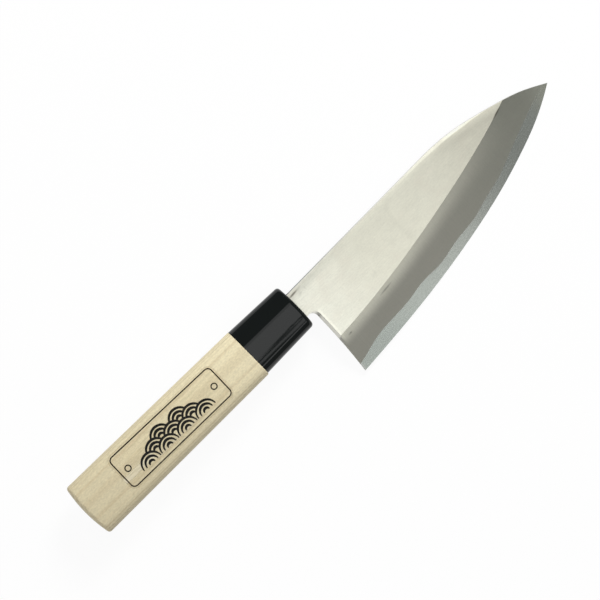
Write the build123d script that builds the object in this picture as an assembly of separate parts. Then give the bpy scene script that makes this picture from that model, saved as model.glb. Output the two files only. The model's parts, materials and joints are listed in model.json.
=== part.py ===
# Deba knife for the right hand, lying on a table with its ground side up.
# Millimetres. The knife is drawn with X along the handle from the butt to the tip, zero at the ferrule's
# front, Y from the edge towards the spine, and Z out of the ground side. At the end the whole knife is
# tipped until the handle and the edge both touch the table, and its box is centred on the origin.

from build123d import *
import math
import os

os.makedirs("parts", exist_ok=True)

# Blade, seen from its ground side
tip_reach = 147.7             # ferrule front to tip
tip_drop = 8.45               # tip below the handle's axis
heel_gap = 1.6                # ferrule front to heel corner
heel_drop = 42.6              # heel corner below the axis
spine_rise = 6.0              # spine above the axis at the ferrule
crown_reach = 76.0            # ferrule front to where the spine starts to fall
crown_rise = 7.3              # spine above the axis there
neck_drop = 6.9               # underside of the neck below the axis
neck_fillet = 3.2             # between the neck and the choil
choil_reach = 3.5             # ferrule front to the top of the choil
choil_bow = 0.5               # how far the choil bulges away from the handle
choil_chamfer = 1.3
spine_thickness = 5.2
tip_thickness = 2.0           # of the flat, if it ran on to the tip
bevel_width = 19.2            # edge to bevel line, square to the axis

# Shares of the way from heel to tip, of the edge's rise on that way, and of the bevel's width
edge_station_shares = (-0.08, 0.08, 0.25, 0.5, 0.7, 0.8, 0.9, 1.0, 1.1)
edge_rise_shares = (-0.026, 0.027, 0.097, 0.2605, 0.4605, 0.597, 0.765, 1.0, 1.31)
bevel_width_shares = (1.015, 0.983, 1.003, 1.041, 1.03, 1.005, 0.981, 0.946, 0.91)

# Shares of the way from the crown to the tip, and of the spine's fall on that way
spine_station_shares = (0.0, 0.25, 0.45, 0.65, 0.85, 1.0, 1.12)
spine_fall_shares = (0.0, 0.004, 0.13, 0.352, 0.648, 1.0, 1.29)

# Hard steel at the back of the blade, with a forged, wavy joint to the cladding
core_gap = 1.0                # ferrule front to the start of the hard steel
core_thickness = 1.2
core_station_shares = (
    -0.05, 0.03, 0.09, 0.17, 0.25, 0.31, 0.385, 0.46,
    0.57, 0.62, 0.68, 0.77, 0.86, 0.93, 1.0, 1.1,
)
core_depth_shares = (
    0.83, 0.97, 1.34, 1.35, 1.21, 1.24, 0.87, 0.88,
    0.63, 0.69, 0.62, 0.7, 0.66, 0.48, 0.2, 0.1,
)

# Hollow ground in the back, inside a flat rim
hollow_radius = 700.0
hollow_edge_rim = 1.6
hollow_spine_rim = 2.2
hollow_heel_rim = 2.5
hollow_tip_rim = 14.0
hollow_station_shares = (0.0, 0.012, 0.04, 0.09, 0.2, 0.4, 0.6, 0.8, 0.92, 1.0)
hollow_inset_shares = (0.42, 0.27, 0.12, 0.035, 0.0, 0.0, 0.0, 0.0, 0.0, 0.0)

# Tang, behind the shoulder where the neck ends inside the ferrule
tang_length = 88.0            # ferrule front to tang end
tang_root_height = 10.0
tang_end_height = 5.0
tang_end_thickness = 3.0

# Handle, with its section given at the butt
handle_length = 130.0         # butt to ferrule front
butt_height = 27.35
butt_thickness = 21.0
side_radius = 5.8
ridge_offset = 3.6            # ridge above the axis
ridge_radius = 6.0
facet_angle = 12.0            # degrees, from the ridge down to the spine side
wood_front_height = 25.55
wood_front_drop = 0.24        # middle of the grip's front end below the axis, as it is fitted by hand
butt_dome_radius = 67.0
butt_rounding = 1.5
shoulder_chamfer = 0.3

# Ferrule
ferrule_length = 29.95
ferrule_back_height = 24.95
ferrule_front_height = 23.0
ferrule_wall = 2.0
ferrule_front_wall = 3.0
ferrule_dome_radius = 107.0
ferrule_rounding = 1.7

# Fits
slot_clearance = 0.15         # neck in the ferrule's slot
tenon_clearance = 0.1         # tenon in the ferrule
resin_gap = 0.6               # resin round the tang
resin_depth = 2.0             # resin behind the tang's end

# Label on the grip
label_length = 63.0
label_height = 19.0
label_corner = 3.0
label_film_thickness = 0.1
label_forward = 3.0           # label's middle in front of the middle of the wooden grip
label_rise = 1.1              # label's middle above the axis
label_turn = -1.0             # degrees

# Resting pose
contact_share = 0.825         # way from heel to tip at which the edge touches the table
steepest_tilt = 20.0          # degrees
search_steps = 24

overrun = 5.0                 # by which the cutting shapes pass what they cut
skim = 0.5                    # the same for shapes that cut at a shallow angle

half_spine = spine_thickness / 2
back_plane = -half_spine
heel_to_tip = tip_reach - heel_gap


# Straight prism between two levels of Z, from a closed outline
def slab(outline, low, high):
    return extrude(Pos(0, 0, low) * outline, high - low)


# Y of a curve at a place along X
def curve_y(curve, x):
    low = 0.0
    high = 1.0
    for step in range(search_steps):
        middle = (low + high) / 2
        if (curve @ middle).X < x:
            low = middle
        else:
            high = middle
    return (curve @ low).Y


# Thickness of the blade before the bevel is ground, which thins evenly faster towards the tip
def flat_thickness(x):
    return spine_thickness - (spine_thickness - tip_thickness) * (x / tip_reach) ** 2


# Curve of the bevel at one level of Z, through stations with their place, their edge and their slope.
# Every level has the same parameter at the same place along X, so the rulings between levels run square.
def bevel_curve(level):
    points = []
    for along, rise, width in zip(edge_station_shares, edge_rise_shares, bevel_width_shares):
        x = heel_gap + along * heel_to_tip
        y = rise * (heel_drop - tip_drop) - heel_drop
        slope = flat_thickness(x) / (width * bevel_width)
        points.append(Vector(x, y + (level - back_plane) / slope))
    return Edge.make_spline(points, parameters=edge_station_shares)


# Spine from the crown to past the tip
def spine_curve():
    points = []
    for along, fall in zip(spine_station_shares, spine_fall_shares):
        x = crown_reach + along * (tip_reach - crown_reach)
        points.append(Vector(x, crown_rise - fall * (crown_rise + tip_drop)))
    start = Vector(crown_reach, crown_rise - spine_rise)
    return Spline(points, tangents=[start, points[-1] - points[-2]])


# Y of the spine at a place along X
def spine_y(x):
    if x < crown_reach:
        return spine_rise + (crown_rise - spine_rise) * x / crown_reach
    return curve_y(spine_curve(), x)


# Open space in front of the choil and under the neck, with its rounded inner corner
def notch_outline():
    below = -heel_drop - overrun
    middle_x = (choil_reach + heel_gap) / 2 + choil_bow
    inner = (choil_reach, -neck_drop)
    choil = ThreePointArc(inner, (middle_x, -(neck_drop + heel_drop) / 2), (heel_gap, -heel_drop))
    neck = Polyline(
        inner,
        (-ferrule_front_wall, -neck_drop),
        (-ferrule_front_wall, below),
        (heel_gap, below),
        (heel_gap, -heel_drop),
    )
    face = make_face([choil, neck])
    corner = face.vertices().sort_by_distance(inner)[0]
    return fillet(corner, neck_fillet)


# Outline of neck and blade, running past the edge, which the bevel makes
def blade_outline():
    curve = spine_curve()
    far = curve @ 1
    below = -heel_drop - overrun
    rest = Polyline(
        far,
        (far.X, below),
        (-ferrule_front_wall, below),
        (-ferrule_front_wall, spine_rise),
        (0, spine_rise),
        (crown_reach, crown_rise),
    )
    return make_face([curve, rest])


# Side view of neck and blade, with the flat back and the thinning front
def blade_side():
    far = tip_reach + 2 * overrun
    middle = far / 2
    top = ThreePointArc(
        (0, half_spine),
        (middle, back_plane + flat_thickness(middle)),
        (far, back_plane + flat_thickness(far)),
    )
    rest = Polyline(
        (0, half_spine),
        (-ferrule_front_wall, half_spine),
        (-ferrule_front_wall, back_plane),
        (far, back_plane),
        (far, back_plane + flat_thickness(far)),
    )
    return make_face([top, rest])


# Tapered block from the neck's shoulder to the tang's end, or the hole for it with a gap all round
def tang_block(gap=0.0, depth=0.0):
    front = -ferrule_front_wall
    back = -tang_length - depth

    def wedge(root, end):
        half_root = root / 2 + gap
        half_end = end / 2 + gap
        corners = ((back, -half_end), (front, -half_root), (front, half_root), (back, half_end))
        return make_face(Polyline(corners, close=True))

    seen_flat = slab(wedge(tang_root_height, tang_end_height), -spine_thickness, spine_thickness)
    seen_side = Plane.XZ * wedge(spine_thickness, tang_end_thickness)
    return seen_flat & extrude(seen_side, tang_root_height, both=True)


# What the wide bevel removes: a wedge whose upper side runs through the edge and the bevel line
def bevel_cutter():
    below = -heel_drop - 2 * overrun
    layers = []
    for level in (back_plane - skim, half_spine + skim):
        curve = bevel_curve(level)
        start = curve @ 0
        end = curve @ 1
        rest = Polyline(start, (start.X, below), (end.X, below), end)
        layers.append(Pos(0, 0, level) * make_face([curve, rest]))
    return loft(layers, ruled=True)


# One section of the hollow in the back, between two places on the back plane
def hollow_section(x, low, high):
    middle = (low + high) / 2
    half = (high - low) / 2
    depth = hollow_radius - math.sqrt(hollow_radius ** 2 - half ** 2)
    wide = math.sqrt(hollow_radius ** 2 - (hollow_radius - depth - skim) ** 2)
    base = back_plane - skim
    top = back_plane + depth
    arc = ThreePointArc((middle - wide, base), (middle, top), (middle + wide, base))
    chord = Line((middle - wide, base), (middle + wide, base))
    plane = Plane(origin=(x, 0, 0), x_dir=(0, 1, 0), z_dir=(1, 0, 0))
    return plane * make_face([arc, chord])


# The hollow as a whole
def back_hollow():
    edge = bevel_curve(back_plane)
    start = choil_reach + hollow_heel_rim
    run = tip_reach - hollow_tip_rim - start
    sections = []
    for along, inset in zip(hollow_station_shares, hollow_inset_shares):
        x = start + along * run
        low = curve_y(edge, x) + hollow_edge_rim
        high = spine_y(x) - hollow_spine_rim
        drawn_in = inset * (high - low)
        sections.append(hollow_section(x, low + drawn_in, high - drawn_in))
    return loft(sections)


# Blade with neck and tang, before it is parted into its two steels
def make_blade():
    reach = heel_drop + 3 * overrun
    sides = extrude(Plane.XZ * blade_side(), reach, both=True)
    blank = sides & slab(blade_outline(), -spine_thickness, spine_thickness)
    blank -= slab(notch_outline(), -spine_thickness, spine_thickness)
    slope = Pos(0, 0, half_spine - choil_chamfer) * notch_outline()
    blank -= extrude(slope, 2 * choil_chamfer, dir=(1, 0, 1))
    blank -= bevel_cutter()
    return blank - back_hollow() + tang_block()


# Everything below the joint between the hard steel and the cladding
def core_zone():
    points = []
    for along, depth in zip(core_station_shares, core_depth_shares):
        x = heel_gap + along * heel_to_tip
        points.append((x, back_plane + depth * core_thickness))
    joint = Spline(points)
    below = back_plane - overrun
    start = joint @ 0
    end = joint @ 1
    rest = Polyline(start, (start.X, below), (end.X, below), end)
    reach = heel_drop + 3 * overrun
    zone = extrude(Plane.XZ * make_face([joint, rest]), reach, both=True)
    return split(zone, Plane.YZ.offset(core_gap), keep=Keep.TOP)


# Section of the handle: low ridge on the ground side, rounded sides, oval underside
def handle_section(x, height, grow=0.0):
    scale = height / butt_height
    half = height / 2 + grow
    top = scale * butt_thickness / 2 + grow
    radius = scale * side_radius + grow
    ridge = scale * ridge_offset
    tilt = math.radians(facet_angle)
    touch_y = half - radius + radius * math.sin(tilt)
    touch_z = top - (touch_y - ridge) * math.tan(tilt)
    level = touch_z - radius * math.cos(tilt)
    run = half - radius + ridge
    rise = top - level
    face_radius = (run ** 2 + rise ** 2 - radius ** 2) / (2 * (rise - radius))
    turn = math.asin(run / (face_radius - radius))

    def on_circle(centre_y, centre_z, size, angle):
        return (centre_y + size * math.sin(angle), centre_z + size * math.cos(angle))

    square = math.pi / 2
    spine_side = ThreePointArc(
        (touch_y, touch_z),
        on_circle(half - radius, level, radius, (tilt + square) / 2),
        (half, level),
    )
    edge_side = ThreePointArc(
        (-half, level),
        on_circle(radius - half, level, radius, -(turn + square) / 2),
        on_circle(radius - half, level, radius, -turn),
    )
    face = ThreePointArc(
        on_circle(radius - half, level, radius, -turn),
        on_circle(ridge, top - face_radius, face_radius, -turn / 2),
        (ridge, top),
    )
    facet = Line((ridge, top), (touch_y, touch_z))
    underside = EllipticalCenterArc((0, level), half, level + top, start_angle=180, arc_size=180)
    outline = make_face([facet, spine_side, underside, edge_side, face])
    corner = outline.vertices().sort_by_distance((ridge, top, 0))[0]
    outline = fillet(corner, scale * ridge_radius)
    plane = Plane(origin=(x, 0, 0), x_dir=(0, 1, 0), z_dir=(1, 0, 0))
    return plane * outline


# Height of the ferrule at a place along X
def ferrule_height(x):
    return ferrule_front_height - (ferrule_back_height - ferrule_front_height) * x / ferrule_length


# Tapered length of the ferrule's shape, between two places along X, grown or shrunk
def ferrule_taper(back, front, grow=0.0):
    ends = [handle_section(x, ferrule_height(x), grow) for x in (back, front)]
    return loft(ends, ruled=True)


# Tapered length of the wooden grip, grown or not
def grip_taper(grow=0.0):
    butt = handle_section(-handle_length, butt_height, grow)
    front = handle_section(-ferrule_length, wood_front_height, grow)
    return loft([butt, Pos(0, -wood_front_drop, 0) * front], ruled=True)


# Block that leaves a shallow dome at one end of the handle
def dome_cutter(end_x, radius, outward):
    side = 2 * butt_height
    block = Pos(end_x, 0, 0) * Box(2 * overrun, side, side)
    centre = Pos(end_x - outward * radius, 0, 0)
    return block - centre * Sphere(radius)


# Wooden grip with its tenon
def make_wood():
    grip = grip_taper() - dome_cutter(-handle_length, butt_dome_radius, -1)
    end = grip.faces().sort_by(Axis.X)[0]
    grip = fillet(end.edges(), butt_rounding)
    shoulder = grip.faces().sort_by(Axis.X)[-1]
    grip = chamfer(shoulder.edges(), shoulder_chamfer)
    tenon = ferrule_taper(-ferrule_length, -ferrule_front_wall, -ferrule_wall - tenon_clearance)
    return grip + tenon - tang_block(resin_gap, resin_depth)


# Plastic ferrule, closed at the front but for the slot of the neck
def make_ferrule():
    body = ferrule_taper(-ferrule_length, 0) - dome_cutter(0, ferrule_dome_radius, 1)
    front = body.faces().sort_by(Axis.X)[-1]
    body = fillet(front.edges(), ferrule_rounding)
    body -= ferrule_taper(-ferrule_length, -ferrule_front_wall, -ferrule_wall)
    middle_y = (spine_rise - neck_drop) / 2
    slot = Box(
        2 * (ferrule_front_wall + overrun),
        spine_rise + neck_drop + 2 * slot_clearance,
        spine_thickness + 2 * slot_clearance,
    )
    return body - Pos(0, middle_y, 0) * slot


# Clear film of the label, lying on the grip
def make_film():
    corners = RectangleRounded(label_length, label_height, label_corner)
    grip_middle = -(handle_length + ferrule_length) / 2
    place = Pos(grip_middle + label_forward, label_rise, 0) * Rot(0, 0, label_turn)
    prism = extrude(place * corners, butt_thickness)
    return (prism & grip_taper(label_film_thickness)) - grip_taper()


# Angle about the edge's tangent at which the handle comes up to the level of the edge
def resting_tilt(axis, handle):
    low = 0.0
    high = steepest_tilt
    for step in range(search_steps):
        middle = (low + high) / 2
        if min(piece.rotate(axis, middle).bounding_box().min.Z for piece in handle) < back_plane:
            low = middle
        else:
            high = middle
    return high


blade = make_blade()
zone = core_zone()
nodes = {
    "soft_steel_cladding": blade - zone,
    "hard_steel_core": blade & zone,
    "ferrule": make_ferrule(),
    "wooden_handle": make_wood(),
    "tang_resin": tang_block(resin_gap, resin_depth) - tang_block(),
    "label_film": make_film(),
}

# Lay the knife on the table
edge = bevel_curve(back_plane)
contact_x = heel_gap + contact_share * heel_to_tip
contact = Vector(contact_x, curve_y(edge, contact_x), back_plane)
ahead = Vector(contact_x + skim, curve_y(edge, contact_x + skim), back_plane)
table_axis = Axis(contact, ahead - contact)
tilt = resting_tilt(table_axis, [nodes["wooden_handle"], nodes["ferrule"]])
laid = {name: shape.rotate(table_axis, tilt) for name, shape in nodes.items()}
box = Compound(children=[Compound(shape.solids()) for shape in laid.values()]).bounding_box()
shift = Pos(-box.center().X, -box.center().Y, -box.min.Z)

for name, shape in laid.items():
    placed = shift * shape
    solids = placed.solids()
    print(name, "solids", len(solids), "volume", round(sum(solid.volume for solid in solids), 2))
    export_step(solids[0] if len(solids) == 1 else Compound(solids), f"parts/{name}.step")

print("tilt", round(tilt, 3), "contact", contact, "box", box.size)
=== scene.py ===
# Deba knife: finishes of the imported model, its printed label, and the floor, lamps and camera.
import json
import math
import bpy
from mathutils import Matrix, Vector


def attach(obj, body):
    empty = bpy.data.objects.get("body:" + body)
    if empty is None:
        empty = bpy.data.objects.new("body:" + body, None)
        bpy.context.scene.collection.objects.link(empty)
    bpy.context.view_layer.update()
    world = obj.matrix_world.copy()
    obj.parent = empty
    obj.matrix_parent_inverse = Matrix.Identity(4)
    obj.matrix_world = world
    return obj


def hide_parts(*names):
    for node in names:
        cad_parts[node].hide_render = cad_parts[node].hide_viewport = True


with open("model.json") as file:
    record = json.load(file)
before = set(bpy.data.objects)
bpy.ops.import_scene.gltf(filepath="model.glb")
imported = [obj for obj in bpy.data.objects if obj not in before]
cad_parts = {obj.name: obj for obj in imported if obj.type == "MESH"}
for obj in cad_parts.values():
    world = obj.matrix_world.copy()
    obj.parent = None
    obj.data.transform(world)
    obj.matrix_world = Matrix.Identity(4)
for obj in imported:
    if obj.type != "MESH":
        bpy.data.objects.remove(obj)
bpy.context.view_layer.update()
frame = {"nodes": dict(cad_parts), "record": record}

nodes = frame["nodes"]
mm = 0.001


# A socket of a node tree that adds, multiplies and so on like a number
class Wire:
    def __init__(self, tree, socket=None):
        self.tree = tree
        self.socket = socket

    # One node of any kind: settings first, then the values or links of its sockets
    def node(self, kind, settings=None, inputs=None, output=0):
        made = self.tree.nodes.new(kind)
        for key, value in (settings or {}).items():
            setattr(made, key, value)
        for key, value in (inputs or {}).items():
            if isinstance(value, Wire):
                self.tree.links.new(value.socket, made.inputs[key])
            else:
                made.inputs[key].default_value = value
        return Wire(self.tree, made.outputs[output]) if made.outputs else None

    def maths(self, operation, *values):
        return self.node("ShaderNodeMath", {"operation": operation}, dict(enumerate(values)))

    def __add__(self, other):
        return self.maths("ADD", self, other)

    def __sub__(self, other):
        return self.maths("SUBTRACT", self, other)

    def __rsub__(self, other):
        return self.maths("SUBTRACT", other, self)

    def __mul__(self, other):
        return self.maths("MULTIPLY", self, other)

    def __truediv__(self, other):
        return self.maths("DIVIDE", self, other)

    def __pow__(self, other):
        return self.maths("POWER", self, other)

    __radd__ = __add__
    __rmul__ = __mul__

    # 0 before start and 1 after end, with soft ends
    def ease(self, start, end):
        ends = {"Value": self, "From Min": start, "From Max": end}
        return self.node("ShaderNodeMapRange", {"interpolation_type": "SMOOTHSTEP"}, ends)

    # 0 before start and 1 after end, evenly
    def ramp(self, start, end):
        return self.node("ShaderNodeMapRange", None, {"Value": self, "From Min": start, "From Max": end})

    # The first colour where the mask is 0, the second where it is 1
    def mixed(self, first, second, mask):
        return self.node("ShaderNodeMix", {"data_type": "RGBA"}, {0: mask, 6: first, 7: second}, 2)

    # A colour made lighter or darker by a number
    def shaded(self, colour, amount):
        by = self.node("ShaderNodeCombineXYZ", None, {0: amount, 1: amount, 2: amount})
        multiply = {"data_type": "RGBA", "blend_type": "MULTIPLY"}
        return self.node("ShaderNodeMix", multiply, {0: 1.0, 6: colour, 7: by}, 2)

    # Noise about zero, from -1 to 1, with cells of a size in millimetres along and across the knife
    def speckle(self, place, along, across, through=None, detail=2.0):
        cells = (1 / along, 1 / across, 1 / (through or across))
        stretched = self.node("ShaderNodeVectorMath", {"operation": "MULTIPLY"}, {0: place, 1: cells})
        inputs = {"Vector": stretched, "Scale": 1.0, "Detail": detail}
        return (self.node("ShaderNodeTexNoise", None, inputs) - 0.5) * 2

    # Several kinds of noise together, each with its length, its width, its detail and its strength
    def grain(self, place, kinds):
        total = None
        for along, across, detail, strength in kinds:
            one = self.speckle(place, along, across, detail=detail) * strength
            total = one if total is None else total + one
        return total

    def absolute(self):
        return self.maths("ABSOLUTE", self)

    def atLeast(self, other):
        return self.maths("MAXIMUM", self, other)

    def atMost(self, other):
        return self.maths("MINIMUM", self, other)

    # 1 on a line of a width, where this is the distance from its middle
    def line(self, width, soft):
        return 1 - (self.absolute() - width / 2).ease(-soft, soft)

    def bump(self, height, distance):
        return self.node("ShaderNodeBump", None, {"Height": height, "Distance": distance})


# A colour written as the eye reads it, each part 0 to 255
def tone(red, green, blue):
    return tuple(((c / 255 + 0.055) / 1.055) ** 2.4 for c in (red, green, blue)) + (1.0,)


# Millimetres, in the knife's own frame: zero in the middle of the ferrule's front
knife = {
    "steel": 5.2,             # thickness at the heel
    "tipSteel": 2.0,
    "tipReach": 147.7,
    "bevelWidth": 19.2,
    "crownReach": 76.0,
    "spineRise": 6.0,
    "crownRise": 7.3,
    "tipDrop": 8.45,
    "tipCurve": 2.5,
    "neckDrop": 6.9,
    "heelDrop": 42.6,
    "choilTop": 3.5,
    "heelGap": 1.6,
    "choilBow": 0.5,
}


# Where the knife lies: its back's normal is the mount's, and its zero is found from the ferrule and the steel
def layKnife():
    up = -Vector(frame["record"]["mounts"][0]["axis"])
    turn = Vector((0, 0, 1)).rotation_difference(up).to_matrix()
    ferrule = [turn.transposed() @ v.co for v in nodes["ferrule"].data.vertices]
    steel = [turn.transposed() @ v.co for v in nodes["soft_steel_cladding"].data.vertices]
    across = [p.y for p in ferrule]
    back = min(p.z for p in steel)
    middle = (min(across) + max(across)) / 2
    zero = Vector((max(p.x for p in ferrule), middle, back + knife["steel"] / 2 * mm))
    return Matrix.Translation(turn @ zero) @ turn.to_4x4()


knifeAt = layKnife()
print("the knife's zero lies at", [round(v, 5) for v in knifeAt.translation])


# A new material, with the place in the knife's own millimetres as a vector and as three numbers
def newFinish(name):
    material = bpy.data.materials.new(name)
    material.use_nodes = True
    material.node_tree.nodes.clear()
    wire = Wire(material.node_tree)
    inObject = wire.node("ShaderNodeTexCoord", output="Object")
    lie = {
        "Vector": inObject,
        "Location": knifeAt.translation,
        "Rotation": knifeAt.to_euler(),
        "Scale": (mm, mm, mm),
    }
    place = wire.node("ShaderNodeMapping", {"vector_type": "TEXTURE"}, lie)
    apart = [wire.node("ShaderNodeSeparateXYZ", None, {"Vector": place}, axis) for axis in "XYZ"]
    return material, wire, place, apart


# Ends a material in one shader
def endFinish(wire, inputs):
    shader = wire.node("ShaderNodeBsdfPrincipled", None, inputs)
    wire.node("ShaderNodeOutputMaterial", None, {"Surface": shader})


def dress(node, material):
    data = nodes[node].data
    data.materials.clear()
    data.materials.append(material)


# 1 where the surface looks along an axis of the knife, -1 where it looks the other way
def facing(wire, axis=(0, 0, 1)):
    normal = wire.node("ShaderNodeTexCoord", output="Normal")
    turned = knifeAt.to_3x3() @ Vector(axis)
    return wire.node("ShaderNodeVectorMath", {"operation": "DOT_PRODUCT"}, {0: normal, 1: turned}, "Value")


# Millimetres down the bevel from the line where it meets the flat
def downBevel(wire, x, z):
    share = x / knife["tipReach"]
    flat = knife["steel"] / 2 - (knife["steel"] - knife["tipSteel"]) * share * share
    return (flat - z) * (knife["bevelWidth"] / knife["steel"])


# Millimetres in from the spine
def inFromSpine(x, y):
    rise = knife["spineRise"] + (knife["crownRise"] - knife["spineRise"]) * x.ramp(0.0, knife["crownReach"])
    toTip = x.ramp(knife["crownReach"], knife["tipReach"]) ** knife["tipCurve"]
    return rise - (knife["crownRise"] + knife["tipDrop"]) * toTip - y


# Millimetres in from the choil, which bows a little towards the handle
def inFromChoil(x, y):
    k = knife
    share = (0 - y - k["neckDrop"]) / (k["heelDrop"] - k["neckDrop"])
    straight = x - k["choilTop"] + share * (k["choilTop"] - k["heelGap"])
    return straight - share * (1 - share) * (4 * k["choilBow"])


markReach = 1e3               # mm through the steel, so that a mark is as wide at any depth
markFade = (0.2, 1.0)         # shares of a mark's half length, where it starts to fade and where it ends


# Darker marks left on the steel, soft at their ends: 1 in the middle of a mark
def smears(wire, place, marks):
    total = None
    for x, y, length, height, turn, strength in marks:
        lie = {"Vector": place, "Location": (x, y, 0), "Rotation": (0, 0, math.radians(turn)),
               "Scale": (length / 2, height / 2, markReach)}
        inside = wire.node("ShaderNodeMapping", {"vector_type": "TEXTURE"}, lie)
        away = wire.node("ShaderNodeVectorMath", {"operation": "LENGTH"}, {0: inside}, "Value")
        mark = (1 - away.ease(*markFade)) * strength
        total = mark if total is None else total + mark
    return total


# In the finishes below, a pair is where a change starts and where it ends: in millimetres along the knife, in
# from an edge, or across the knife, as its name says, or else as a share. A kind of grain is its length, its
# width, its detail and its strength.
softSteel = {
    # The flat's three tones darken from heel to tip: painted shade, where its reflection dims towards the tip
    "flatAtHeel": tone(221, 221, 208),
    "flatMiddle": tone(210, 209, 194),
    "flatAtTip": tone(198, 196, 181),
    "stain": tone(205, 199, 185),
    # A pale painted sheen at the top of the bevel, for its reflection of a light edge
    "sheenAndHaze": tone(240, 239, 223),
    # The bevel is darker than the flat partly for its own rougher finish and partly as painted shade; it
    # darkens towards the tip in painted shade and is lighter again at the point
    "bevel": tone(179, 178, 167),
    "bevelAtTip": tone(161, 162, 151),
    "bevelAtPoint": tone(173, 175, 163),
    "walls": tone(234, 233, 224),
    "spineAtNeck": tone(80, 80, 75),
    # The choil's chamfer painted light, for the white floor it reflects
    "choil": tone(241, 240, 230),
    "smear": tone(104, 100, 90),
    "flatRough": 0.30,
    "bevelRough": 0.42,
    "flatFacing": (0.9925, 0.9955),  # how squarely a face has to look away from the back
    "bevelFacing": (0.86, 0.93),
    "choilFacing": (0.5, 0.6),
    "smearFacing": (0.3, 0.6),
    "flatDims": (5.0, 38.0),
    "flatDimsToTip": (76.0, 122.0),
    "spineShade": 0.20,              # painted shade: the darker strip under the spine near the neck
    "spineShadeAlong": (4.0, 36.0),
    "spineShadeFromSpine": (0.0, 0.7),
    "spineShadeInwards": (1.4, 5.5),
    "glow": 0.10,              # painted highlight: the lighter strip under the spine in front of it
    "glowAlong": (24.0, 60.0),
    "glowInwards": (0.0, 3.4),
    "sheen": 0.15,             # a wider painted highlight towards the tip
    "sheenAlong": (84.0, 114.0),
    "sheenInwards": (1.0, 4.4),
    "rim": 0.68,               # painted highlight: the bright line right on the spine's rim
    "rimAlong": (62.0, 104.0),
    "rimInwards": (0.5, 1.4),
    "rimThins": 0.9,           # mm that it loses towards the tip
    "rimThinsAlong": (108.0, 122.0),
    "choilShine": 0.15,             # painted highlight: the light line beside the choil, on the flat and the top of the bevel
    "choilShineMiddle": 1.9,        # mm in from the choil
    "choilShineSides": (0.2, 0.9),
    "choilShineAcross": (-9.5, -7.5),
    "choilShineDown": (0.5, 4.0),
    "flatLines": ((5.0, 0.3, 2.0, 0.09), (0.9, 0.6, 2.0, 0.10)),
    "flatPatches": ((7.0, 4.5, 4.0, 0.075),),
    "stainCell": (9.0, 6.0),
    "stainDetail": 3.0,
    "stainFades": (-0.1, 0.6),
    "stainShare": 0.3,
    "bevelSheenDown": (0.0, 6.8),    # mm down the bevel, over which the painted sheen fades
    "bevelSheenAlong": (42.0, 124.0),
    "bevelSheenFromChoil": (0.0, 2.4),
    "bevelSheenAtChoil": 0.25,
    "bevelDims": (60.0, 130.0),
    "pointAlong": (133.0, 146.0),
    "grind": ((0.3, 9.0, 2.0, 0.07), (12.0, 4.0, 2.0, 0.03), (0.9, 0.7, 2.0, 0.06)),
    "neckAlong": (2.0, 44.0),
    "neckAcross": (0.0, 2.0),
    "choilInwards": (2.0, 2.6),
    "choilMiddle": 0.65,       # mm below the flat
    "choilRims": (0.42, 0.62),
    "choilRimShade": 0.26,
    "choilTop": (-15.5, -12.5),
    "choilTopLight": 0.1,
    "choilFoot": (-24.6, -23.2),
    "choilFootShade": 0.50,
    "scratchCell": (20.0, 0.12),
    "scratchDepth": 0.002,
    "marks": [                 # x, y, length, height, turn, strength
        (2.2, 4.4, 7.0, 1.45, 4, 0.86),
        (5.4, 4.6, 4.4, 1.7, 8, 0.16),
        (4.5, 2.3, 3.6, 1.5, 14, 0.13),
        (7.9, 3.0, 1.3, 4.4, 5, 0.08),
        (3.6, 0.1, 6.5, 0.9, 2, 0.09),
        (8.3, -25.7, 3.6, 1.3, 5, 0.30),
        (8.6, -25.6, 1.3, 1.1, 0, 0.30),
        (33.2, -22.7, 10.0, 1.2, 6, 0.45),
        (122.2, -1.85, 8.0, 1.2, 17, 0.80),
        (34.0, -14.7, 6.0, 3.4, 30, 0.07),
        (57.6, 0.5, 4.6, 14.0, -20, 0.05),
        (56.6, -10.0, 4.6, 20.0, 4, 0.05),
        (100.0, 3.2, 34.0, 7.0, -16, 0.07),
    ],
}


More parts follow.
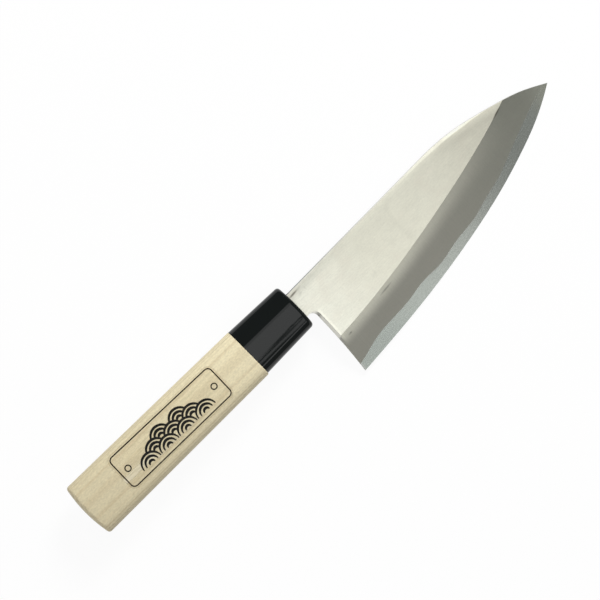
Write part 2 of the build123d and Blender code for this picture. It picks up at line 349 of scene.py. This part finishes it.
def softSteelFinish():
    s = softSteel
    material, wire, place, (x, y, z) = newFinish("softSteel")
    up = facing(wire)
    onFlat = up.ease(*s["flatFacing"])
    onBevel = up.ease(*s["bevelFacing"]) * (1 - onFlat)
    down = downBevel(wire, x, z)
    fromSpine = inFromSpine(x, y)
    fromChoil = inFromChoil(x, y)

    # The flat, with painted shade darkening it towards the tip
    flat = wire.mixed(s["flatAtHeel"], s["flatMiddle"], x.ramp(*s["flatDims"]))
    flat = wire.mixed(flat, s["flatAtTip"], x.ramp(*s["flatDimsToTip"]))
    # Painted shade in a strip under the spine near the neck
    spineShade = (1 - fromSpine.ease(*s["spineShadeInwards"])) * fromSpine.ease(*s["spineShadeFromSpine"])
    spineShade = spineShade * (1 - x.ramp(*s["spineShadeAlong"])) * s["spineShade"]
    # Painted highlights along the spine: a strip, a wider one towards the tip, and a bright line on its rim
    glow = (1 - fromSpine.ease(*s["glowInwards"])) * x.ramp(*s["glowAlong"]) * s["glow"]
    sheen = (1 - fromSpine.ease(*s["sheenInwards"])) * x.ramp(*s["sheenAlong"]) * s["sheen"]
    pastRim = (fromSpine + x.ramp(*s["rimThinsAlong"]) * s["rimThins"]).ease(*s["rimInwards"])
    shine = glow + sheen + (1 - pastRim) * x.ramp(*s["rimAlong"]) * s["rim"]
    # A painted highlight in a line beside the choil
    choilShine = 1 - (fromChoil - s["choilShineMiddle"]).absolute().ease(*s["choilShineSides"])
    choilShine = choilShine * (1 - y.ease(*s["choilShineAcross"])) * s["choilShine"]
    lines = wire.grain(place, s["flatLines"])
    patches = wire.grain(place, s["flatPatches"])
    flat = wire.shaded(flat, 1 - spineShade + shine + choilShine + lines + patches)
    stains = wire.speckle(place, *s["stainCell"], detail=s["stainDetail"]).ease(*s["stainFades"])
    flat = wire.mixed(flat, s["stain"], stains * s["stainShare"])

    # The bevel, with painted shade towards the tip and a pale painted sheen at its top
    # A pale painted sheen at the bevel's top, fading down it, towards the tip and at the choil
    sheenAndHaze = (1 - down.ease(*s["bevelSheenDown"])) * (1 - x.ramp(*s["bevelSheenAlong"]))
    sheenAndHaze = sheenAndHaze * (fromChoil.ease(*s["bevelSheenFromChoil"]) * (1 - s["bevelSheenAtChoil"]) + s["bevelSheenAtChoil"])
    bevel = wire.mixed(s["bevel"], s["bevelAtTip"], x.ramp(*s["bevelDims"]))
    bevel = wire.mixed(bevel, s["bevelAtPoint"], x.ease(*s["pointAlong"]))
    bevel = wire.mixed(bevel, s["sheenAndHaze"], sheenAndHaze)
    grind = wire.grain(place, s["grind"])
    # The painted highlight beside the choil runs on down the top of the bevel
    bevel = wire.shaded(bevel, 1 + grind + choilShine * (1 - down.ease(*s["choilShineDown"])))

    # The spine, the neck and the choil, whose chamfer is painted light for the white floor it reflects, with
    # painted shade at its rims and foot and more painted light near its top
    atNeck = (1 - x.ramp(*s["neckAlong"])) * y.ease(*s["neckAcross"])
    walls = wire.mixed(s["walls"], s["spineAtNeck"], atNeck)
    fromMiddle = (down * (knife["steel"] / knife["bevelWidth"]) - s["choilMiddle"]).absolute()
    rims = fromMiddle.ease(*s["choilRims"]) * s["choilRimShade"]
    choil = wire.shaded(s["choil"], (1 - rims) * (1 + y.ease(*s["choilTop"]) * s["choilTopLight"]))
    choil = wire.shaded(choil, 1 - (1 - y.ease(*s["choilFoot"])) * s["choilFootShade"])
    onChoil = up.ease(*s["choilFacing"]) * (1 - fromChoil.ease(*s["choilInwards"]))
    walls = wire.mixed(walls, choil, onChoil)

    colour = wire.mixed(wire.mixed(walls, bevel, onBevel), flat, onFlat)
    colour = wire.mixed(colour, s["smear"], smears(wire, place, s["marks"]) * up.ease(*s["smearFacing"]))
    rough = s["flatRough"] + (1 - onFlat) * (s["bevelRough"] - s["flatRough"])
    normal = wire.bump(wire.speckle(place, *s["scratchCell"]) * onFlat, s["scratchDepth"] * mm)
    endFinish(wire, {"Base Color": colour, "Metallic": 1.0, "Roughness": rough, "Normal": normal})
    return material


hardSteel = {
    # The band's tones along the knife are painted light and shade of its reflection: darker at the heel and
    # towards the tip, lightest in the middle
    "bandAtHeel": tone(182, 189, 182),
    "band": tone(211, 216, 208),
    "bandAtTip": tone(174, 179, 172),
    "bandAtPoint": tone(190, 193, 180),
    "heelEnd": tone(194, 197, 192),
    "backRim": tone(214, 214, 208),
    "backHollow": tone(190, 190, 184),
    "bandRough": 0.26,
    "rimRough": 0.20,
    "hollowRough": 0.40,
    "backFacing": (-0.6, 0.0),
    "hollowDepth": (0.003, 0.02),
    "heelAlong": (20.0, 78.0),
    "tipAlong": (72.0, 124.0),
    "pointAlong": (131.0, 144.0),
    "heelInwards": (0.2, 1.6),
    "bandGrain": ((0.8, 6.0, 2.0, 0.05), (9.0, 0.4, 2.0, 0.04)),
    "grainAlong": (60.0, 110.0),
    "grainLost": 0.6,          # share of the band's grain that is gone at the tip
    "hollowGrain": ((0.5, 30.0, 2.0, 0.16), (3.0, 40.0, 2.0, 0.06)),
    "rimCell": (30.0, 0.3),
    "rimGrain": 0.05,
    "crossScratch": (0.2, 16.0),
    "longScratch": (16.0, 0.15),
    "longShare": 0.5,
    "scratchDepth": 0.002,
}


def hardSteelFinish():
    s = hardSteel
    material, wire, place, (x, y, z) = newFinish("hardSteel")
    onBack = 1 - facing(wire).ease(*s["backFacing"])
    inHollow = (z + knife["steel"] / 2).ease(*s["hollowDepth"])
    # Painted light and shade along the band
    band = wire.mixed(s["bandAtHeel"], s["band"], x.ramp(*s["heelAlong"]))
    band = wire.mixed(band, s["bandAtTip"], x.ease(*s["tipAlong"]))
    band = wire.mixed(band, s["bandAtPoint"], x.ease(*s["pointAlong"]))
    band = wire.mixed(s["heelEnd"], band, inFromChoil(x, y).ease(*s["heelInwards"]))
    patches = wire.grain(place, s["bandGrain"]) * (1 - x.ramp(*s["grainAlong"]) * s["grainLost"])
    band = wire.shaded(band, 1 + patches)
    back = wire.mixed(s["backRim"], s["backHollow"], inHollow)
    ground = wire.grain(place, s["hollowGrain"]) * inHollow
    polished = wire.speckle(place, *s["rimCell"]) * (1 - inHollow) * s["rimGrain"]
    back = wire.shaded(back, 1 + ground + polished)
    colour = wire.mixed(band, back, onBack)
    backRough = s["rimRough"] + inHollow * (s["hollowRough"] - s["rimRough"])
    rough = s["bandRough"] + onBack * (backRough - s["bandRough"])
    scratches = wire.speckle(place, *s["crossScratch"]) * onBack
    scratches = scratches + wire.speckle(place, *s["longScratch"]) * s["longShare"]
    normal = wire.bump(scratches, s["scratchDepth"] * mm)
    endFinish(wire, {"Base Color": colour, "Metallic": 1.0, "Roughness": rough, "Normal": normal})
    return material


wood = {
    "butt": tone(206, 195, 163),
    "front": tone(228, 217, 183),
    "late": tone(176, 152, 112),   # the darker line that ends each year's growth
    "pore": tone(170, 150, 116),
    "pith": (4.5, 60.0),       # mm from the handle's axis, the middle of the growth rings
    "drift": (0.0115, 0.007),  # mm the rings move for each mm along
    "ringStart": 50.85,
    "ringWidth": 1.25,
    "ringWander": ((70.0, 7.0, 2.0, 0.35), (18.0, 2.5, 2.0, 0.08)),
    "lateStarts": (0.12, 0.52),
    "lateEnds": (0.5, 0.66),
    "lateLeast": 0.3,          # how dark the faintest ring is beside the darkest one
    "lateShare": 0.40,
    "fibre": ((9.0, 0.22, 2.0, 0.045), (3.0, 0.5, 4.0, 0.035)),
    "cloud": ((24.0, 4.0, 2.0, 0.04),),
    "fine": ((1.1, 0.7, 3.0, 0.22),),
    "poreCell": (2.2, 0.13),
    "poreFades": (0.42, 0.62),
    "poreShare": 0.22,
    "endFacing": (0.93, 0.99),
    "dotCell": (2.0, 0.3, 0.3),
    "dotFades": (0.1, 0.5),
    "dotShade": 0.16,
    "endShade": 0.05,
    "lowAcross": (-11.5, -6.5),
    "lowShade": 0.03,          # painted shade at the butt, and so much more at the front
    "lowShadeMore": 0.06,
    "buttEnd": -130.0,
    "frontEnd": -29.95,
    "rough": 0.62,
    "specular": 0.3,
    "grooveCell": (7.0, 0.2),
    "grooveDepth": 0.03,
}


def woodFinish():
    w = wood
    material, wire, place, (x, y, z) = newFinish("paleWood")
    along = x - w["buttEnd"]
    toFront = x.ramp(w["buttEnd"], w["frontEnd"])
    ringY = y + along * w["drift"][0] - w["pith"][0]
    ringZ = z + along * w["drift"][1] - w["pith"][1]
    depth = (ringY * ringY + ringZ * ringZ) ** 0.5 + wire.grain(place, w["ringWander"])
    year = (depth - w["ringStart"]) / w["ringWidth"] + 0.5
    number = wire.maths("FLOOR", year)
    phase = wire.maths("FRACT", year)
    random = wire.node("ShaderNodeTexWhiteNoise", {"noise_dimensions": "1D"}, {"W": number}, "Value")
    late = phase.ease(*w["lateStarts"]) * (1 - phase.ease(*w["lateEnds"]))
    late = late * (random * (1 - w["lateLeast"]) + w["lateLeast"])
    base = wire.mixed(w["butt"], w["front"], toFront)
    colour = wire.mixed(base, w["late"], late * w["lateShare"])
    pores = wire.speckle(place, *w["poreCell"], detail=0.0).ease(*w["poreFades"]) * w["poreShare"]
    colour = wire.mixed(colour, w["pore"], pores)
    uneven = 1 + wire.grain(place, w["fibre"]) + wire.grain(place, w["cloud"]) + wire.grain(place, w["fine"])
    endGrain = facing(wire, (1, 0, 0)).absolute().ease(*w["endFacing"])
    dots = wire.speckle(place, *w["dotCell"]).ease(*w["dotFades"]) * w["dotShade"] + w["endShade"]
    # Painted shade on the lower side, more towards the front
    low = (1 - y.ease(*w["lowAcross"])) * (toFront * w["lowShadeMore"] + w["lowShade"])
    colour = wire.shaded(colour, uneven * (1 - dots * endGrain) * (1 - low))
    normal = wire.bump(wire.speckle(place, *w["grooveCell"]) - pores, w["grooveDepth"] * mm)
    inputs = {"Base Color": colour, "Roughness": w["rough"], "Specular IOR Level": w["specular"]}
    endFinish(wire, inputs | {"Normal": normal})
    return material


ferrule = {
    "colour": tone(5, 11, 10),
    "rough": 0.07,
    "specular": 0.36,
    "smudges": ((8.0, 3.0, 2.0, 0.02),),
    "scratchCell": (1.0, 0.1),
    "scratchFades": (0.4, 0.7),
    "scratchRough": 0.04,
    "mottle": ((5.0, 5.0, 2.0, 0.08),),
    "waves": ((34.0, 3.0, 0.0, 0.022), (90.0, 1.2, 0.0, 0.004)),  # the moulding's unevenness
    "wavesAcross": (0.0, 4.0),
    "wavesAlong": (-3.5, -1.5),
    "rolls": ((-4.2, 0.007), (-7.3, 0.028), (-9.6, -0.035)),  # mm across, and the slope added below it
    "swell": 1.0,
}


def ferruleFinish():
    f = ferrule
    material, wire, place, (x, y, z) = newFinish("blackPlastic")
    scratches = wire.speckle(place, *f["scratchCell"]).ease(*f["scratchFades"]) * f["scratchRough"]
    rough = f["rough"] + wire.grain(place, f["smudges"]) + scratches
    colour = wire.shaded(f["colour"], 1 + wire.grain(place, f["mottle"]))
    uneven = wire.grain(place, f["waves"]) * (1 - y.ease(*f["wavesAcross"])) * (1 - x.ease(*f["wavesAlong"]))
    roll = sum((y - top).atMost(0) * slope for top, slope in f["rolls"])
    normal = wire.bump(uneven + roll, f["swell"] * mm)
    inputs = {"Base Color": colour, "Roughness": rough, "Specular IOR Level": f["specular"]}
    endFinish(wire, inputs | {"Normal": normal})
    return material


resin = {
    "colour": tone(150, 104, 52),
    "rough": 0.35,
    "mottle": ((4.0, 4.0, 2.0, 0.15),),
}


def resinFinish():
    material, wire, place, (x, y, z) = newFinish("amberResin")
    colour = wire.shaded(resin["colour"], 1 + wire.grain(place, resin["mottle"]))
    endFinish(wire, {"Base Color": colour, "Roughness": resin["rough"]})
    return material


label = {                     # millimetres, in the label's own frame: along the handle and across it
    "middle": (-77.0, 1.1),    # in the knife's frame
    "turn": -1.0,              # degrees
    "length": 62.9,
    "height": 18.8,
    "corner": 2.8,
    "cornerSteps": 8,
    "cutsAlong": 30,
    "cutsAcross": 26,
    "above": 20.0,             # where the film starts, before it comes down on the wood
    "lift": 0.03,
    "thick": 0.05,
    "smoothAngle": 30.0,       # degrees
    "frameLength": 60.0,
    "frameHeight": 16.3,
    "frameCorner": 2.1,
    "frameLine": 0.56,
    "frameSoft": 0.04,
    "frameRag": 0.3,           # how ragged its sides are beside those of the strokes
    "frameTaper": 0.0008,      # by which the frame grows for each mm towards the butt
    "waveRadius": 5.5,
    "waveRows": (4, 3, 2),     # scales in each row, from the front one
    "waveRise": 2.9,           # from one row to the next
    "waveBase": -5.8,
    "waveRings": (0.91, 0.585, 0.25),  # shares of the radius
    "waveSoft": 0.04,
    "brush": 1.30,             # width of a stroke at its thickest
    "brushLeast": 0.4,         # share of that at its ends
    "brushSoft": 0.07,
    "tooClose": 0.1,           # mm from a scale's middle, where a stroke's width no longer changes
    "rag": ((0.5, 0.5, 2.0, 0.07),),
    "dryCell": (3.0, 0.18),
    "dryFades": (0.35, 0.75),
    "dryShare": 0.25,
    "drops": (-26.0, 26.0),
    "dropRadius": 1.35,
    "dropLine": 0.55,
    "dropSoft": 0.06,
    "ink": tone(20, 20, 19),
    "frameInk": tone(34, 26, 21),
    "film": tone(196, 184, 154),
    "cloud": tone(214, 202, 168),
    "milky": tone(240, 231, 203),
    "milkySpots": [            # middle along and across, half the length and half the height, strength
        (-23.0, -3.3, 9.4, 1.35, 0.60),
        (0.0, -5.3, 13.5, 1.05, 0.30),
    ],
    "milkyWander": ((6.0, 2.0, 2.0, 0.25),),
    "milkyEnds": 0.5,            # mm over which a patch fades at its ends, and at its sides
    "milkySides": 0.3,
    "milkyCell": (5.0, 0.7),
    "milkyFades": (-0.6, 0.3),
    "milkyLeast": 0.55,
    "milkyPale": (0.1, 0.3),
    "cloudCell": (16.0, 1.6),
    "cloudDetail": 3.0,
    "cloudFades": (-0.1, 0.7),
    "cloudShare": 0.10,
    "marginOut": (0.2, 0.6),   # mm outside the frame line
    "marginHaze": 0.06,
    "marginTone": 12.0,        # share of the film's own tone for each share of haze
    "endOut": (1.05, 1.15),
    "hazeLeast": 0.04,
    "hazeMost": 0.6,
    "inkHides": 0.97,
    "rough": 0.45,
    "roughGrain": ((5.0, 5.0, 2.0, 0.05),),
    "specular": 0.15,
}


# The clear film: a sheet with round corners, laid on the wood and given its thickness
def makeLabel():
    b = label
    length, height = b["length"] * mm, b["height"] * mm
    bpy.ops.object.select_all(action="DESELECT")
    bpy.ops.mesh.primitive_plane_add(size=1.0)
    film = bpy.context.object
    film.name = "clearLabel"
    film.scale = (length, height, 1.0)
    bpy.ops.object.transform_apply(scale=True)
    bpy.ops.object.mode_set(mode="EDIT")
    bpy.ops.mesh.select_all(action="SELECT")
    bpy.ops.mesh.bevel(offset=b["corner"] * mm, segments=b["cornerSteps"], affect="VERTICES")
    cuts = (b["cutsAlong"], length, (1, 0, 0)), (b["cutsAcross"], height, (0, 1, 0))
    for count, span, direction in cuts:
        for cut in range(1, count):
            bpy.ops.mesh.select_all(action="SELECT")
            bpy.ops.mesh.bisect(plane_co=Vector(direction) * span * (cut / count - 0.5), plane_no=direction)
    bpy.ops.object.mode_set(mode="OBJECT")
    turned = Matrix.Rotation(math.radians(b["turn"]), 4, "Z")
    film.matrix_world = knifeAt @ Matrix.Translation(Vector((*b["middle"], b["above"])) * mm) @ turned
    wrap = film.modifiers.new("lie", "SHRINKWRAP")
    wrap.target = nodes["wooden_handle"]
    wrap.wrap_method = "PROJECT"
    wrap.use_project_z = True
    wrap.use_negative_direction = True
    wrap.use_positive_direction = False
    wrap.offset = b["lift"] * mm
    wall = film.modifiers.new("wall", "SOLIDIFY")
    wall.thickness = b["thick"] * mm
    wall.offset = 1.0
    for modifier in ("lie", "wall"):
        bpy.ops.object.modifier_apply(modifier=modifier)
    bpy.ops.object.transform_apply(location=True, rotation=True, scale=True)
    bpy.ops.object.shade_smooth_by_angle(angle=math.radians(b["smoothAngle"]))
    film.data.materials.append(filmFinish())
    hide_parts("label_film")
    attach(film, "root")
    print("label laid on the grip")


# Ink of the overlapping wave scales, each with three strokes that are thick above and thin at the ends
def waves(wire, u, v):
    b = label
    radius, soft, least = b["waveRadius"], b["waveSoft"], b["brushLeast"]
    ink = 0
    free = 1
    for row, count in enumerate(b["waveRows"]):
        up = v - (b["waveBase"] + row * b["waveRise"])
        last = (count - 1) / 2
        nearest = wire.maths("ROUND", u / (2 * radius) + last).atLeast(0).atMost(count - 1) - last
        across = u - nearest * (2 * radius)
        away = (across * across + up * up) ** 0.5
        inside = (1 - away.ease(radius - soft, radius + soft)) * up.ease(-soft, soft)
        stroke = (up / away.atLeast(b["tooClose"])) * (1 - least) + least
        rings = 0
        for share in b["waveRings"]:
            far = (away - radius * share).absolute() - stroke * (b["brush"] / 2)
            rings = rings + (1 - far.ease(-b["brushSoft"], b["brushSoft"]))
        ink = ink + inside * rings * free
        free = (1 - inside) * free
    return ink


# Millimetres outside the label's frame line
def outOfFrame(wire, u, v):
    b = label
    overX = u.absolute() - (b["frameLength"] / 2 - b["frameCorner"])
    overY = v.absolute() - (b["frameHeight"] / 2 - b["frameCorner"])
    corner = (overX.atLeast(0) ** 2 + overY.atLeast(0) ** 2) ** 0.5
    return corner + overX.atLeast(overY).atMost(0) - b["frameCorner"]


# Paler, cloudier patches in the film: 1 where they are fullest
def milkyPatches(wire, place, u, v):
    b = label
    wander = wire.grain(place, b["milkyWander"])
    ends, sides = b["milkyEnds"], b["milkySides"]
    milky = 0
    for middle, rise, half, tall, strength in b["milkySpots"]:
        over = (u - middle + wander).absolute().ease(half - ends, half + ends)
        aside = (v - rise + wander).absolute().ease(tall - sides, tall + sides)
        milky = milky + (1 - over) * (1 - aside) * strength
    streaks = wire.speckle(place, *b["milkyCell"]).ease(*b["milkyFades"])
    return milky * (streaks * (1 - b["milkyLeast"]) + b["milkyLeast"])


def filmFinish():
    b = label
    material, wire, place, (x, y, z) = newFinish("clearFilm")
    lie = {"Vector": place, "Location": (*b["middle"], 0), "Rotation": (0, 0, math.radians(b["turn"]))}
    flat = wire.node("ShaderNodeMapping", {"vector_type": "TEXTURE"}, lie)
    u = wire.node("ShaderNodeSeparateXYZ", None, {"Vector": flat}, "X")
    v = wire.node("ShaderNodeSeparateXYZ", None, {"Vector": flat}, "Y") * (1 + u * b["frameTaper"])
    rag = wire.grain(place, b["rag"])
    out = outOfFrame(wire, u, v)
    frameInk = (out + rag * b["frameRag"]).line(b["frameLine"], b["frameSoft"])
    ink = waves(wire, u + rag, v + rag)
    for middle in b["drops"]:
        away = ((u - middle) ** 2 + v * v) ** 0.5
        ink = ink + (away - b["dropRadius"] + rag).line(b["dropLine"], b["dropSoft"])
    dry = wire.speckle(place, *b["dryCell"]).ease(*b["dryFades"]) * b["dryShare"]
    ink = ink.atMost(1) * (1 - dry)
    milky = milkyPatches(wire, place, u, v)
    clouds = wire.speckle(place, *b["cloudCell"], detail=b["cloudDetail"]).ease(*b["cloudFades"])
    clouds = clouds * b["cloudShare"]
    margin = out.ease(*b["marginOut"]) * b["marginHaze"]
    clear = wire.mixed(b["cloud"], b["film"], margin * b["marginTone"])
    clear = wire.mixed(clear, b["milky"], milky.ease(*b["milkyPale"]))
    colour = wire.mixed(wire.mixed(clear, b["frameInk"], frameInk), b["ink"], ink)
    sheenAndHaze = (milky + clouds + margin).atMost(b["hazeMost"]) + b["hazeLeast"]
    sheenAndHaze = sheenAndHaze * (1 - out.ease(*b["endOut"]))
    alpha = sheenAndHaze + frameInk.atLeast(ink) * (b["inkHides"] - sheenAndHaze)
    rough = b["rough"] + wire.grain(place, b["roughGrain"])
    inputs = {"Base Color": colour, "Alpha": alpha, "Roughness": rough, "Specular IOR Level": b["specular"]}
    endFinish(wire, inputs)
    return material


dress("soft_steel_cladding", softSteelFinish())
dress("hard_steel_core", hardSteelFinish())
dress("wooden_handle", woodFinish())
dress("ferrule", ferruleFinish())
dress("tang_resin", resinFinish())
print("five finishes made")
makeLabel()


studio = {
    "floorSize": 30.0,
    "floorDrop": 0.0002,
    "floor": tone(240, 240, 240),
    "floorGlow": 0.93,          # share of the floor's tone that is plain white, with no shading
    "world": 0.25,
    "cameraHeight": 3.0,
    "viewWidth": 0.2635,       # what the camera sees from side to side
    "sensor": 36.0,
    "lookAt": (2.6, 0.43, 2.6),  # mm in the knife's frame
    "turn": -44.495,           # degrees, so that the knife points up and right
    "cameraReach": 100.0,
    "lamps": [                 # name, middle, width and depth, in metres, radiance, and the place it faces
        ("flatBox", (-0.11, -0.32, 1.0), 0.88, 0.33, 1.32, (-0.11, -0.32, 0.0)),
        ("stripBox", (-0.14, -0.560, 1.0), 0.62, 0.075, 1.25, (-0.14, -0.560, 0.0)),
        ("edgeBox", (0.17, -0.92, 1.0), 0.28, 0.28, 1.38, (0.17, -0.92, 0.0)),
        ("highBox", (0.0, 0.0, 3.4), 3.0, 0.95, 0.96, (0.0, 0.0, 0.0)),
        ("keyBox", (0.90, 0.55, 0.9), 0.52, 0.52, 17.90, (0.0, 0.0, 0.0)),
        ("glintBox", (0.90, 0.55, 0.9), 0.16, 0.30, 7.00, (0.0, 0.0, 0.0)),
        ("fillBox", (-1.00, 0.10, 0.7), 0.90, 0.70, 1.40, (0.0, 0.0, 0.0)),
    ],
    "mattOnly": ("keyBox",),   # lamps that show in no reflection, so that the steel never glares white
    "white": (1.0, 1.0, 1.0, 1.0),
}


def makeFloor():
    bpy.ops.object.select_all(action="DESELECT")
    bpy.ops.mesh.primitive_plane_add(size=studio["floorSize"], location=(0, 0, -studio["floorDrop"]))
    floor = bpy.context.object
    floor.name = "floor"
    bpy.ops.object.transform_apply(location=True)
    material = bpy.data.materials.new("paleFloor")
    material.use_nodes = True
    material.node_tree.nodes.clear()
    wire = Wire(material.node_tree)
    matt = wire.node("ShaderNodeBsdfDiffuse", None, {"Color": studio["floor"]})
    glow = wire.node("ShaderNodeEmission", None, {"Strength": 1.0})
    rays = [wire.node("ShaderNodeLightPath", output=ray)
            for ray in ("Is Camera Ray", "Is Glossy Ray", "Is Transmission Ray")]
    seen = wire.maths("MINIMUM", rays[0] + rays[1] + rays[2], 1.0) * studio["floorGlow"]
    both = wire.node("ShaderNodeMixShader", None, {0: seen, 1: matt, 2: glow})
    wire.node("ShaderNodeOutputMaterial", None, {"Surface": both})
    floor.data.materials.append(material)


def makeLamps():
    for name, middle, width, depth, radiance, target in studio["lamps"]:
        lamp = bpy.data.lights.new(name, "AREA")
        lamp.shape = "RECTANGLE"
        lamp.size = width
        lamp.size_y = depth
        lamp.energy = radiance * math.pi * width * depth
        holder = bpy.data.objects.new(name, lamp)
        bpy.context.scene.collection.objects.link(holder)
        holder.location = middle
        holder.visible_glossy = name not in studio["mattOnly"]
        holder.rotation_mode = "QUATERNION"
        holder.rotation_quaternion = (Vector(middle) - Vector(target)).to_track_quat("Z", "Y")


def makeWorld():
    world = bpy.data.worlds.new("studio")
    bpy.context.scene.world = world
    world.use_nodes = True
    background = world.node_tree.nodes["Background"]
    background.inputs["Strength"].default_value = studio["world"]
    background.inputs["Color"].default_value = studio["white"]


def makeCamera():
    data = bpy.data.cameras.new("view")
    data.sensor_width = studio["sensor"]
    data.lens = studio["sensor"] * studio["cameraHeight"] / studio["viewWidth"]
    data.clip_end = studio["cameraReach"]
    camera = bpy.data.objects.new("view", data)
    bpy.context.scene.collection.objects.link(camera)
    aim = knifeAt @ (Vector(studio["lookAt"]) * mm)
    camera.location = (aim.x, aim.y, aim.z + studio["cameraHeight"])
    camera.rotation_euler = (0, 0, math.radians(studio["turn"]))
    bpy.context.scene.camera = camera


makeFloor()
makeLamps()
makeWorld()
makeCamera()
bpy.context.scene.view_settings.view_transform = "Standard"
print("studio set")
